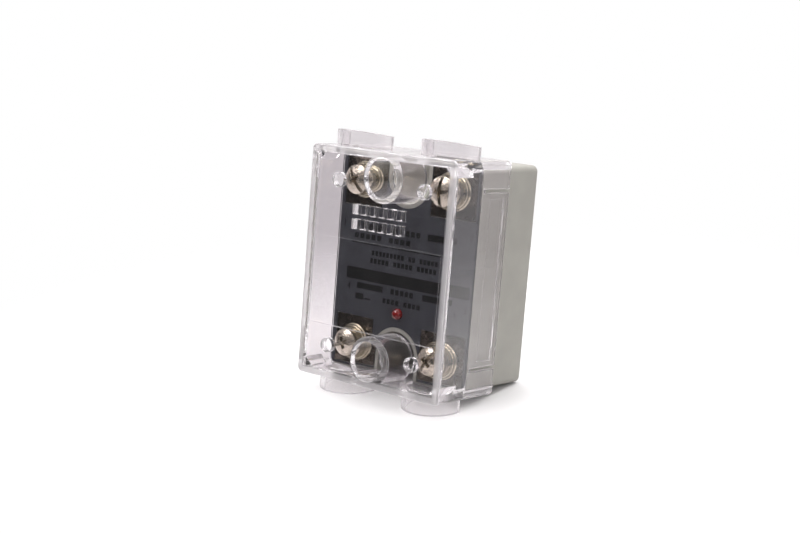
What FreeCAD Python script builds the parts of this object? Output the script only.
import FreeCAD, Part
import math
import os

# Panel-mount solid state relay with a clear terminal cover.
# +Z runs along the length (output end up), -Y faces the user, +X is the user's right.
# The origin is the centre of the back mounting face. All sizes are in millimetres.

# Body
BODY_W = 45.0
BODY_L = 58.4
BODY_CORNER_R = 1.8
BODY_EDGE_R = 0.4
WALL = 1.6
FRONT_WALL = 2.5
HOUSING_BACK = -0.3
HOUSING_FRONT = -25.2
LABEL_T = 0.3
LABEL_FRONT = HOUSING_FRONT - LABEL_T

# Base plate and its two mounting holes
BASE_T = 3.0
BASE_FRONT = -BASE_T
MOUNT_PITCH = 47.6
MOUNT_Z = MOUNT_PITCH / 2
MOUNT_HOLE_R = 2.4
NEST_GAP = 0.1

# Round-bottomed wells that give access to the mounting holes
WELL_R = 6.9
WELL_WALL = 1.2
RIM_W = 1.0

# Terminal cover
COVER_GAP = 0.2
COVER_WALL = 1.2
COVER_STEP = 0.7
COVER_STEP_Y = LABEL_FRONT - 0.3
COVER_FRONT_T = 2.2
COVER_FRONT = -37.8
COVER_BACK = -14.6
COVER_CORNER_R = 1.3
COVER_EDGE_R = 0.5
TUBE_R = 6.5
TUBE_WALL = 1.2
TUBE_CLEAR = 0.3
HOOD_R = 8.4
HOOD_WALL = 1.4
HOOD_REACH = 4.4
HOOD_REACH_BACK = 3.3
HOOD_Y = LABEL_FRONT - 1.0
GUSSET = 3.5
GUSSET_CLEAR = 4.0
PROBE_R = 1.95
VENT_COLS = 6
VENT_ROWS_Z = (15.0, 11.2)
VENT_PITCH = 2.95
VENT_W = 2.0
VENT_H = 2.6
PANEL_X = 21.3
PANEL_TOP = 7.0
PANEL_BOTTOM = -16.4
PANEL_STEP = 0.25
TONGUE_Z = 22.5
TONGUE_SLOT = 1.0
TONGUE_ROOT = -25.0
BEAD_Z = (-15.0, 15.0)
BEAD_L = 6.0
BEAD_PROUD = 0.15

# Terminals: 1 and 2 are the output pair at the top, 3 and 4 the input pair at the bottom
TERMINAL_X = 14.2
TERMINAL_Z = 21.9
TERMINALS = {1: (-1, 1), 2: (1, 1), 3: (1, -1), 4: (-1, -1)}
THREAD_R = {1: 2.08, 2: 2.08, 3: 1.75, 4: 1.75}
THREAD_PITCH = 25.4 / 32
THREAD_DEPTH = 0.35
THREAD_RUNOUT = 1.0
HEAD_R = {1: 3.9, 2: 3.9, 3: 3.6, 4: 3.6}
HEAD_H = 2.8
HEAD_DOME = 1.3
SLOT_HALF = 0.5
SLOT_DEPTH = 1.25
CROSS_HALF = 0.55
CROSS_TOP = 1.9
CROSS_FLOOR = 0.7
CROSS_DEPTH = 2.1
SHANK_TIP = -16.0
SHANK_CHAMFER = 0.5
RUN_GAP = 0.05
PLATE_SEAT = -24.2
PLATE_T = 1.2
PLATE_TOP = PLATE_SEAT - PLATE_T
PLATE_X = (8.3, 20.7)
PLATE_Z = (15.0, 27.9)
LEG_T = 1.0
LEG_HALF_W = 2.5
LEG_Z = 17.4
CUP_R = 4.9
CUP_FLANGE_T = 0.8
CUP_STEP_R = 4.4
CUP_T = 1.4
CUP_TOP = PLATE_TOP - CUP_T
WASHER_T = 1.0
WASHER_R = 3.9
WASHER_SPLIT = 0.6
NUT_HALF = 3.6
NUT_T = 3.0
POCKET_GAP = 0.1
BOSS_BACK = -14.0
BOSS_INNER_Z = 17.6

# Indicator
LED_Z = -12.2
LED_R = 1.5
LED_FLANGE_R = 1.9
LED_PROUD = 1.7
LEAD_HALF = 0.25
LEAD_PITCH = 2.54

# Electronics
BOARD_FRONT = -12.6
BOARD_T = 1.6
BOARD_BACK = BOARD_FRONT + BOARD_T
BOARD_HALF_X = 20.4
BOARD_HALF_Z = 27.1
SUBSTRATE_T = 0.8
PAD_T = 0.3
PAD_Y = BASE_FRONT - SUBSTRATE_T - PAD_T
CHIP_T = 0.4
CHIP_X = 8.3
CHIP_Z = 1.5
CHIP_HALF = 3.0
POTTING_FRONT = -9.0

HALF_W = BODY_W / 2
HALF_L = BODY_L / 2
COVER_HALF_W = HALF_W + COVER_GAP + COVER_WALL
COVER_HALF_L = HALF_L + COVER_GAP + COVER_WALL
END_INNER_Z = HALF_L + COVER_GAP
SIDE_INNER_X = HALF_W + COVER_GAP
FAR = 100.0


def box(x0, x1, y0, y1, z0, z1):
    low = FreeCAD.Vector(min(x0, x1), min(y0, y1), min(z0, z1))
    return Part.makeBox(abs(x1 - x0), abs(y1 - y0), abs(z1 - z0), low)


def rod_y(x, z, radius, y0, y1):
    """A cylinder along Y between two depths."""
    start = FreeCAD.Vector(x, min(y0, y1), z)
    return Part.makeCylinder(radius, abs(y1 - y0), start, FreeCAD.Vector(0, 1, 0))


def rod_z(x, y, radius, z0, z1):
    """A cylinder along Z between two heights."""
    start = FreeCAD.Vector(x, y, min(z0, z1))
    return Part.makeCylinder(radius, abs(z1 - z0), start, FreeCAD.Vector(0, 0, 1))


def rod_x(y, z, radius, x0, x1):
    """A cylinder along X between two places."""
    start = FreeCAD.Vector(min(x0, x1), y, z)
    return Part.makeCylinder(radius, abs(x1 - x0), start, FreeCAD.Vector(1, 0, 0))


def prism_x(corners, x0, x1):
    """A flat outline of depth and height pairs, carried along X."""
    points = [FreeCAD.Vector(x0, y, z) for y, z in corners]
    face = Part.Face(Part.makePolygon(points + points[:1]))
    return face.extrude(FreeCAD.Vector(x1 - x0, 0, 0))


def fuse_all(shapes):
    whole = shapes[0].fuse(shapes[1:]) if len(shapes) > 1 else shapes[0]
    return whole.removeSplitter()


def edges_along(shape, axis):
    """Straight edges that run along one axis."""
    found = []
    for edge in shape.Edges:
        ends = edge.Vertexes
        if len(ends) != 2:
            continue
        span = ends[1].Point.sub(ends[0].Point)
        parts = {"x": abs(span.x), "y": abs(span.y), "z": abs(span.z)}
        if parts.pop(axis) > 1e-6 and max(parts.values()) < 1e-6:
            found.append(edge)
    return found


def edges_at_y(shape, y):
    """Edges that lie in the plane at depth y."""
    return [e for e in shape.Edges if all(abs(v.Point.y - y) < 1e-6 for v in e.Vertexes)]


def save(name, shape):
    shape.exportStep("parts/" + name + ".step")
    state = "ok" if shape.isValid() else "INVALID"
    print(name, len(shape.Solids), "solids", round(shape.Volume, 1), "mm3", state)


def well_outline(radius, end_z, side, y0, y1):
    """The U shape of a mounting well: a round bottom that opens to the end of the body."""
    round_end = rod_y(0, side * MOUNT_Z, radius, y0, y1)
    way_out = box(-radius, radius, y0, y1, side * MOUNT_Z, side * end_z)
    return round_end.fuse(way_out).removeSplitter()


def terminal_place(number):
    side_x, side_z = TERMINALS[number]
    return side_x * TERMINAL_X, side_z * TERMINAL_Z, side_z


# ---------------------------------------------------------------- base plate

def make_base_plate():
    """Aluminium plate nested in the back of the housing, proud of its rim."""
    half_x = HALF_W - WALL - NEST_GAP
    half_z = HALF_L - WALL - NEST_GAP
    plate = box(-half_x, half_x, BASE_FRONT, 0, -half_z, half_z)
    tongue_x = WELL_R - NEST_GAP
    tongue = box(-tongue_x, tongue_x, BASE_FRONT, 0, -HALF_L, HALF_L)
    plate = plate.fuse(tongue).removeSplitter()
    for side in (-1, 1):
        plate = plate.cut(rod_y(0, side * MOUNT_Z, MOUNT_HOLE_R, -FAR, FAR))
    return plate


# ---------------------------------------------------------------- housing

def make_housing():
    """Moulded case, open at the back, with a well and two terminal bosses at each end."""
    case = box(-HALF_W, HALF_W, HOUSING_FRONT, HOUSING_BACK, -HALF_L, HALF_L)
    case = case.makeFillet(BODY_CORNER_R, edges_along(case, "y"))
    rims = edges_at_y(case, HOUSING_FRONT) + edges_at_y(case, HOUSING_BACK)
    case = case.makeFillet(BODY_EDGE_R, rims)
    inner_x = HALF_W - WALL
    inner_z = HALF_L - WALL
    inner_front = HOUSING_FRONT + FRONT_WALL
    case = case.cut(box(-inner_x, inner_x, inner_front, FAR, -inner_z, inner_z))
    added = [case]
    overlap = 0.5
    for side in (-1, 1):
        wall_r = WELL_R + WELL_WALL
        added.append(well_outline(wall_r, HALF_L - overlap, side, HOUSING_FRONT + overlap, BASE_FRONT))
        rim_r = WELL_R + RIM_W
        rim_end = HALF_L - BODY_EDGE_R
        added.append(well_outline(rim_r, rim_end, side, LABEL_FRONT, HOUSING_FRONT + overlap))
        for hand in (-1, 1):
            boss_x = (hand * (WELL_R + 0.6), hand * (inner_x + 0.2))
            boss_z = (side * BOSS_INNER_Z, side * (inner_z + 0.2))
            added.append(box(*boss_x, inner_front - 0.2, BOSS_BACK, *boss_z))
    case = fuse_all(added)
    cuts = []
    for side in (-1, 1):
        cuts.append(well_outline(WELL_R, HALF_L + 5, side, -FAR, FAR))
    for number in TERMINALS:
        cuts += terminal_seat(number)
    cuts.append(rod_y(0, LED_Z, LED_R + 0.1, -FAR, -20))
    cuts.append(rod_y(0, LED_Z, LED_FLANGE_R + 0.15, inner_front - 1.2, -20))
    case = case.cut(cuts)
    return case.removeSplitter()


def terminal_seat(number):
    """Hollows for one terminal: plate pocket, nut pocket, screw bore and the slot for its leg."""
    x, z, side_z = terminal_place(number)
    pocket = plate_blank(number, POCKET_GAP, -FAR, PLATE_SEAT)
    nut_room = NUT_HALF + 0.1
    nut_y = (PLATE_SEAT - 0.1, PLATE_SEAT + NUT_T + 0.1)
    nut = box(x - nut_room, x + nut_room, *nut_y, z - nut_room, z + nut_room)
    bore = rod_y(x, z, THREAD_R[number] + 0.5, PLATE_SEAT, BOSS_BACK - 0.9)
    leg_x = LEG_HALF_W + 0.1
    inner = side_z * (LEG_Z - LEG_T - 0.1)
    slot = box(x - leg_x, x + leg_x, -FAR, -20, inner, side_z * (LEG_Z + 0.1))
    return [pocket, nut, bore, slot]


def make_label_plate():
    """Thin printed plate on the front, cut away around the wells and the terminals."""
    half_x = HALF_W - 0.4
    half_z = HALF_L - 0.5
    plate = box(-half_x, half_x, LABEL_FRONT, HOUSING_FRONT, -half_z, half_z)
    plate = plate.makeFillet(1.2, edges_along(plate, "y"))
    cuts = []
    for side in (-1, 1):
        cuts.append(well_outline(WELL_R + RIM_W + 0.1, HALF_L, side, -FAR, 0))
    for number in TERMINALS:
        cuts.append(plate_blank(number, POCKET_GAP + 0.1, -FAR, 0))
    cuts.append(rod_y(0, LED_Z, LED_R + 0.1, -FAR, 0))
    return plate.cut(cuts)


# ---------------------------------------------------------------- terminal cover

def make_cover():
    """Clear snap-on cover: five walls, two screw tubes, four wire hoods, vents and probe holes."""
    shell = box(-COVER_HALF_W, COVER_HALF_W, COVER_FRONT, COVER_BACK, -COVER_HALF_L, COVER_HALF_L)
    shell = shell.makeFillet(COVER_CORNER_R, edges_along(shell, "y"))
    shell = shell.makeFillet(COVER_EDGE_R, edges_at_y(shell, COVER_FRONT))
    inner_front = COVER_FRONT + COVER_FRONT_T
    shell = shell.cut(cover_cavity(0, COVER_STEP_Y)).cut(cover_cavity(COVER_STEP, inner_front))
    added = [shell]
    for side in (-1, 1):
        added.append(cover_tube(side))
        for hand in (-1, 1):
            added.append(cover_gusset(hand, side))
            added.append(cover_hood(hand, side))
    for hand in (-1, 1):
        for z in BEAD_Z:
            added.append(cover_bead(hand, z))
    shell = fuse_all(added)
    cuts = []
    for side in (-1, 1):
        cuts.append(rod_y(0, side * MOUNT_Z, TUBE_R - TUBE_WALL, -FAR, 0))
        for hand in (-1, 1):
            cuts.append(wire_opening(hand, side))
            cuts.append(rod_y(hand * TERMINAL_X, side * TERMINAL_Z, PROBE_R, -FAR, inner_front + 1))
    for hand in (-1, 1):
        cuts += tongue_cuts(hand)
    cuts += front_cuts()
    return shell.cut(cuts).removeSplitter()


def cover_cavity(inset, front):
    """Hollow behind one depth, drawn in from the walls that run beside the case."""
    half_x = SIDE_INNER_X - inset
    half_z = END_INNER_Z - inset
    cavity = box(-half_x, half_x, front, FAR, -half_z, half_z)
    return cavity.makeFillet(BODY_CORNER_R, edges_along(cavity, "y"))


def cover_tube(side):
    """Guide tube for the driver, from the front wall back to the label."""
    return rod_y(0, side * MOUNT_Z, TUBE_R, COVER_FRONT + 1, LABEL_FRONT - TUBE_CLEAR)


def cover_gusset(hand, side):
    """Three-cornered post inside a front corner."""
    x = hand * (SIDE_INNER_X + 0.2)
    z = side * (END_INNER_Z + 0.2)
    front = COVER_FRONT + 1
    corner = FreeCAD.Vector(x, front, z)
    along_x = FreeCAD.Vector(x - hand * (GUSSET + 0.6), front, z)
    along_z = FreeCAD.Vector(x, front, z - side * (GUSSET + 0.6))
    face = Part.Face(Part.makePolygon([corner, along_x, along_z, corner]))
    depth = LABEL_FRONT - GUSSET_CLEAR - front
    return face.extrude(FreeCAD.Vector(0, depth, 0))


def cover_hood(hand, side):
    """Half-round hood over one wire entry, with a rim that slopes back to the end wall."""
    x = hand * TERMINAL_X
    front = HOOD_Y - HOOD_R
    z0 = side * (END_INNER_Z + 0.1)
    rim_front = side * (COVER_HALF_L + HOOD_REACH)
    rim_back = side * (COVER_HALF_L + HOOD_REACH_BACK)
    tube = rod_z(x, HOOD_Y, HOOD_R, z0, rim_front)
    outline = [(HOOD_Y, z0), (HOOD_Y, rim_back), (front, rim_front), (front, z0)]
    return tube.common(prism_x(outline, x - HOOD_R, x + HOOD_R))


def wire_opening(hand, side):
    """Half-round way in for a wire, down to the face of the label."""
    x = hand * TERMINAL_X
    radius = HOOD_R - HOOD_WALL
    z0 = side * (END_INNER_Z - COVER_STEP - 0.4)
    z1 = side * FAR
    way = rod_z(x, HOOD_Y, radius, z0, z1).common(box(-FAR, FAR, -FAR, HOOD_Y, z0, z1))
    step = box(x - radius, x + radius, HOOD_Y, LABEL_FRONT, z0, z1)
    return way.fuse(step).removeSplitter()


def cover_bead(hand, z):
    """Snap bead on the inside of a side tongue, just ahead of its free edge."""
    y = COVER_BACK - 1.0
    radius = 0.8
    centre = hand * (SIDE_INNER_X + radius - BEAD_PROUD)
    bead = rod_z(centre, y, radius, z - BEAD_L / 2, z + BEAD_L / 2)
    wall = (hand * (SIDE_INNER_X - 1), hand * (SIDE_INNER_X + 0.4))
    inside = box(*wall, y - 2, y + 2, z - BEAD_L, z + BEAD_L)
    return bead.common(inside)


def tongue_cuts(hand):
    """The two slots that free a side tongue, and the shallow panel on its outside."""
    outer = hand * (COVER_HALF_W + 1)
    cuts = []
    for side in (-1, 1):
        slot_z = (side * TONGUE_Z, side * (TONGUE_Z + TONGUE_SLOT))
        cuts.append(box(hand * (SIDE_INNER_X - 0.1), outer, TONGUE_ROOT, 0, *slot_z))
    panel_x = hand * (COVER_HALF_W - PANEL_STEP)
    panel_z = TONGUE_Z - 1.6
    cuts.append(box(panel_x, outer, TONGUE_ROOT + 2.5, COVER_BACK - 2.3, -panel_z, panel_z))
    return cuts


def front_cuts():
    """Vent grid and the stepped panel in the front wall."""
    cuts = [box(-PANEL_X, PANEL_X, -FAR, COVER_FRONT + PANEL_STEP, PANEL_BOTTOM, PANEL_TOP)]
    through = COVER_FRONT + COVER_FRONT_T + 1
    for row_z in VENT_ROWS_Z:
        vent_z = (row_z - VENT_H / 2, row_z + VENT_H / 2)
        for col in range(VENT_COLS):
            x = (col - (VENT_COLS - 1) / 2) * VENT_PITCH
            cuts.append(box(x - VENT_W / 2, x + VENT_W / 2, -FAR, through, *vent_z))
    return cuts


# ---------------------------------------------------------------- terminals

def plate_blank(number, gap, y0, y1):
    """The outline of one contact plate, grown by a gap, between two depths."""
    side_x, side_z = TERMINALS[number]
    span_x = (side_x * (PLATE_X[0] - gap), side_x * (PLATE_X[1] + gap))
    span_z = (side_z * (PLATE_Z[0] - gap), side_z * (PLATE_Z[1] + gap))
    return box(*span_x, y0, y1, *span_z)


def make_terminal_plate(number):
    """Contact plate with a leg: to the circuit board on the inputs, to the substrate on the outputs."""
    x, z, side_z = terminal_place(number)
    leg_x = (x - LEG_HALF_W, x + LEG_HALF_W)
    leg_z = (side_z * (LEG_Z - LEG_T), side_z * LEG_Z)
    leg_back = PAD_Y if side_z > 0 else BOARD_BACK + 1.2
    pieces = [plate_blank(number, 0, PLATE_TOP, PLATE_SEAT), box(*leg_x, PLATE_TOP, leg_back, *leg_z)]
    if side_z > 0:
        foot_x = (math.copysign(6.0, x), math.copysign(TERMINAL_X + LEG_HALF_W, x))
        pieces.append(box(*foot_x, PAD_Y - LEG_T, PAD_Y, 9.5, LEG_Z))
    return fuse_all(pieces).cut(rod_y(x, z, THREAD_R[number] + 0.3, -FAR, 0))


def make_cup_washer(number):
    """Round stepped washer that clamps the wire against the contact plate."""
    x, z, _ = terminal_place(number)
    flange_top = PLATE_TOP - CUP_FLANGE_T
    flange = rod_y(x, z, CUP_R, flange_top, PLATE_TOP)
    flange = flange.makeChamfer(0.25, edges_at_y(flange, flange_top))
    washer = flange.fuse(rod_y(x, z, CUP_STEP_R, CUP_TOP, PLATE_TOP))
    washer = washer.makeFillet(0.25, edges_at_y(washer, CUP_TOP))
    return washer.cut(rod_y(x, z, THREAD_R[number] + RUN_GAP, -FAR, 0))


def make_lock_washer(number):
    """Split spring washer."""
    x, z, _ = terminal_place(number)
    ring = rod_y(x, z, WASHER_R, CUP_TOP - WASHER_T, CUP_TOP)
    ring = ring.cut(rod_y(x, z, THREAD_R[number] + RUN_GAP, -FAR, 0))
    return ring.cut(box(x, x + WASHER_R + 1, -FAR, 0, z - WASHER_SPLIT / 2, z + WASHER_SPLIT / 2))


def make_terminal_screw(number):
    """Domed binding-head screw with a combined cross and slot recess."""
    x, z, _ = terminal_place(number)
    seat = CUP_TOP - WASHER_T
    top = seat - HEAD_H
    radius = HEAD_R[number]
    corners = [(radius, top + HEAD_DOME), (radius, seat)]
    corners += shank_outline(THREAD_R[number], seat) + [(0, top)]
    points = [FreeCAD.Vector(r, y, 0) for r, y in corners]
    dome = Part.Arc(points[-1], dome_point(radius, top), points[0])
    edges = [dome.toShape()] + Part.makePolygon(points).Edges
    screw = Part.Face(Part.Wire(edges)).revolve(FreeCAD.Vector(0, 0, 0), FreeCAD.Vector(0, 1, 0), 360)
    screw = screw.cut(screw_recess(radius, top))
    screw.rotate(FreeCAD.Vector(0, 0, 0), FreeCAD.Vector(0, 1, 0), 20 + 35 * number)
    screw.translate(FreeCAD.Vector(x, 0, z))
    return screw


def shank_outline(thread, seat):
    """Radius and depth of the corners of the shank, with one groove for every turn of the thread."""
    corners = [(thread, seat)]
    end = SHANK_TIP - SHANK_CHAMFER
    depth = seat + THREAD_RUNOUT
    while depth + THREAD_PITCH < end:
        corners += [(thread, depth), (thread - THREAD_DEPTH, depth + THREAD_PITCH / 2)]
        depth += THREAD_PITCH
    tip = [(thread, end), (thread - SHANK_CHAMFER, SHANK_TIP), (0, SHANK_TIP)]
    return corners + [(thread, depth)] + tip


def dome_point(radius, top):
    """Point halfway along the arc from the crown of the head to its shoulder."""
    bow = (radius ** 2 + HEAD_DOME ** 2) / (2 * HEAD_DOME)
    half = math.asin(radius / bow) / 2
    return FreeCAD.Vector(bow * math.sin(half), top + bow * (1 - math.cos(half)), 0)


def screw_recess(radius, top):
    """A slot across the head and a tapered cross in its middle."""
    above = top - 0.2
    floor = top + CROSS_DEPTH
    recess = [box(-radius, radius, top - 1, top + SLOT_DEPTH, -SLOT_HALF, SLOT_HALF)]
    for turn in (0, 90):
        outline = [(above, -CROSS_TOP), (above, CROSS_TOP), (floor, CROSS_FLOOR), (floor, -CROSS_FLOOR)]
        arm = prism_x(outline, -CROSS_HALF, CROSS_HALF)
        arm.rotate(FreeCAD.Vector(0, 0, 0), FreeCAD.Vector(0, 1, 0), turn)
        recess.append(arm)
    return fuse_all(recess)


def make_terminal_nuts():
    """Four square nuts captive under the contact plates."""
    nuts = []
    for number in TERMINALS:
        x, z, _ = terminal_place(number)
        nut_y = (PLATE_SEAT, PLATE_SEAT + NUT_T)
        nut = box(x - NUT_HALF, x + NUT_HALF, *nut_y, z - NUT_HALF, z + NUT_HALF)
        nuts.append(nut.cut(rod_y(x, z, THREAD_R[number] + RUN_GAP, -FAR, 0)))
    return Part.makeCompound(nuts)


# ---------------------------------------------------------------- indicator

def make_led():
    """Red 3 mm lamp: flange, round body and domed nose."""
    nose = LABEL_FRONT - LED_PROUD + LED_R
    flange_back = HOUSING_FRONT + FRONT_WALL + 0.3
    body = rod_y(0, LED_Z, LED_R, nose, flange_back)
    dome = Part.makeSphere(LED_R, FreeCAD.Vector(0, nose, LED_Z))
    flange = rod_y(0, LED_Z, LED_FLANGE_R, flange_back - 1.0, flange_back)
    return fuse_all([body, dome, flange])


def led_leads():
    flange_back = HOUSING_FRONT + FRONT_WALL + 0.3
    leads = []
    for hand in (-1, 1):
        x = hand * LEAD_PITCH / 2
        lead_z = (LED_Z - LEAD_HALF, LED_Z + LEAD_HALF)
        leads.append(box(x - LEAD_HALF, x + LEAD_HALF, flange_back, BOARD_BACK + 1.0, *lead_z))
    return leads


# ---------------------------------------------------------------- electronics

def make_circuit_board():
    """Board that fills the case around the wells, with holes for every lead that passes it."""
    board = box(-BOARD_HALF_X, BOARD_HALF_X, BOARD_FRONT, BOARD_BACK, -BOARD_HALF_Z, BOARD_HALF_Z)
    cuts = []
    for side in (-1, 1):
        cuts.append(well_outline(WELL_R + WELL_WALL + 0.4, HALF_L, side, -FAR, FAR))
    for number in TERMINALS:
        x, _, side_z = terminal_place(number)
        leg_x = LEG_HALF_W + 0.1
        leg_z = (side_z * (LEG_Z - LEG_T - 0.1), side_z * (LEG_Z + 0.1))
        cuts.append(box(x - leg_x, x + leg_x, -FAR, FAR, *leg_z))
    cuts += led_leads() + gate_pins()
    for _, leads in (snubber_resistor(), protection_diode(), driver_transistor()):
        cuts += leads
    return board.cut(cuts)


def gate_pins():
    """Pins that carry the trigger signal from the board to the pads beside each chip."""
    pins = []
    for x in (-CHIP_X, CHIP_X):
        for z in (-4.2, -6.8):
            pins.append(box(x - 0.4, x + 0.4, BOARD_FRONT - 0.8, PAD_Y, z - 0.4, z + 0.4))
    return pins


def make_substrate():
    return box(-13.5, 13.5, BASE_FRONT - SUBSTRATE_T, BASE_FRONT, -9.0, 14.5)


def make_copper_pads():
    """Copper tracks on the ceramic: one output pad each side, a middle bridge and four gate pads."""
    back = BASE_FRONT - SUBSTRATE_T
    pads = [box(-3.2, 3.2, PAD_Y, back, -2.5, 13.5)]
    for hand in (-1, 1):
        pads.append(box(hand * 4.2, hand * 12.8, PAD_Y, back, -2.5, 13.5))
        for z in (-4.2, -6.8):
            pads.append(box(hand * (CHIP_X - 3), hand * (CHIP_X + 3), PAD_Y, back, z - 0.9, z + 0.9))
    return Part.makeCompound(pads)


def thyristor_chips():
    chips = []
    chip_z = (CHIP_Z - CHIP_HALF, CHIP_Z + CHIP_HALF)
    for x in (-CHIP_X, CHIP_X):
        chips.append(box(x - CHIP_HALF, x + CHIP_HALF, PAD_Y - CHIP_T, PAD_Y, *chip_z))
    return chips


def chip_straps():
    """Bent copper straps from the top of each chip to the middle pad."""
    straps = []
    top = PAD_Y - CHIP_T
    outer = CHIP_X + 2
    strap_z = (CHIP_Z - 1.6, CHIP_Z + 1.6)
    for hand in (-1, 1):
        over = box(hand * 1.2, hand * outer, top - 0.9, top - 0.5, *strap_z)
        on_chip = box(hand * (CHIP_X - 1.6), hand * outer, top - 0.6, top, *strap_z)
        on_pad = box(hand * 1.2, hand * 2.6, top - 0.6, PAD_Y, *strap_z)
        straps.append(fuse_all([over, on_chip, on_pad]))
    return straps


def make_potting():
    """Resin that fills the case behind the board, moulded round everything it covers."""
    half_x = HALF_W - WALL - NEST_GAP
    half_z = HALF_L - WALL - NEST_GAP
    fill = box(-half_x, half_x, POTTING_FRONT, BASE_FRONT, -half_z, half_z)
    cuts = [make_substrate(), make_copper_pads()] + thyristor_chips() + chip_straps() + gate_pins()
    cuts += [make_terminal_plate(1), make_terminal_plate(2)]
    for side in (-1, 1):
        cuts.append(well_outline(WELL_R + WELL_WALL + 0.05, HALF_L, side, -FAR, FAR))
    return fill.cut(cuts)


def make_optocoupler():
    """Six-legged optocoupler between the input and output sides of the board."""
    body = box(-4.4, 4.4, BOARD_FRONT - 4.0, BOARD_FRONT - 0.5, -4.8, 1.6)
    legs = []
    for x in (-2.54, 0, 2.54):
        for z0, z1 in ((-5.5, -4.6), (1.4, 2.3)):
            legs.append(box(x - 0.5, x + 0.5, BOARD_FRONT - 2.4, BOARD_FRONT, z0, z1))
    return fuse_all([body] + legs)


def make_snubber_capacitor():
    """Box film capacitor."""
    case = box(-6.5, 6.5, BOARD_FRONT - 8.5, BOARD_FRONT, 4.2, 9.8)
    return case.makeFillet(0.5, edges_along(case, "y"))


def axial_part(x, z, body_r, body_l, span, along_z):
    """Body and bent leads of a part that lies on the board."""
    y = BOARD_FRONT - body_r - 0.4
    lead_r = 0.35
    drop = BOARD_BACK + 0.8
    leads = []
    if along_z:
        body = rod_z(x, y, body_r, z - body_l / 2, z + body_l / 2)
        arms = rod_z(x, y, lead_r, z - span / 2, z + span / 2)
        for side in (-1, 1):
            leads.append(rod_y(x, z + side * span / 2, lead_r, y, drop))
    else:
        body = rod_x(y, z, body_r, x - body_l / 2, x + body_l / 2)
        arms = rod_x(y, z, lead_r, x - span / 2, x + span / 2)
        for side in (-1, 1):
            leads.append(rod_y(x + side * span / 2, z, lead_r, y, drop))
    return fuse_all([body, arms] + leads), leads


def snubber_resistor():
    return axial_part(0, 13.0, 1.6, 7.0, 11.0, False)


def protection_diode():
    return axial_part(-9.5, -10.0, 1.3, 4.4, 8.5, True)


def driver_transistor():
    """Small plastic transistor on three legs."""
    x, z = 9.5, -12.0
    front = BOARD_FRONT - 6.6
    back = BOARD_FRONT - 1.8
    body = rod_y(x, z, 2.3, front, back).cut(box(x - 3, x + 3, -FAR, 0, z + 1.2, z + 5))
    legs = []
    for step in (-1.27, 0, 1.27):
        legs.append(box(x + step - 0.25, x + step + 0.25, back, BOARD_BACK + 0.8, z - 0.25, z + 0.25))
    return fuse_all([body] + legs), legs


def make_input_resistors():
    """Four chip resistors in a row."""
    chips = []
    for step in range(4):
        z = -13.5 + 3.0 * step
        chips.append(box(13.6, 16.8, BOARD_FRONT - 0.6, BOARD_FRONT, z - 0.8, z + 0.8))
    return Part.makeCompound(chips)


def main():
    os.makedirs("parts", exist_ok=True)
    save("base_plate", make_base_plate())
    save("housing", make_housing())
    save("label_plate", make_label_plate())
    save("safety_cover", make_cover())
    for number in TERMINALS:
        save(f"terminal_plate_{number}", make_terminal_plate(number))
        save(f"cup_washer_{number}", make_cup_washer(number))
        save(f"lock_washer_{number}", make_lock_washer(number))
        save(f"terminal_screw_{number}", make_terminal_screw(number))
    save("terminal_nuts", make_terminal_nuts())
    save("led_indicator", make_led())
    save("led_leads", Part.makeCompound(led_leads()))
    save("circuit_board", make_circuit_board())
    save("gate_pins", Part.makeCompound(gate_pins()))
    save("ceramic_substrate", make_substrate())
    save("copper_pads", make_copper_pads())
    save("thyristor_chips", Part.makeCompound(thyristor_chips()))
    save("chip_straps", Part.makeCompound(chip_straps()))
    save("potting_fill", make_potting())
    save("optocoupler", make_optocoupler())
    save("snubber_capacitor", make_snubber_capacitor())
    save("snubber_resistor", snubber_resistor()[0])
    save("protection_diode", protection_diode()[0])
    save("driver_transistor", driver_transistor()[0])
    save("input_resistors", make_input_resistors())


main()
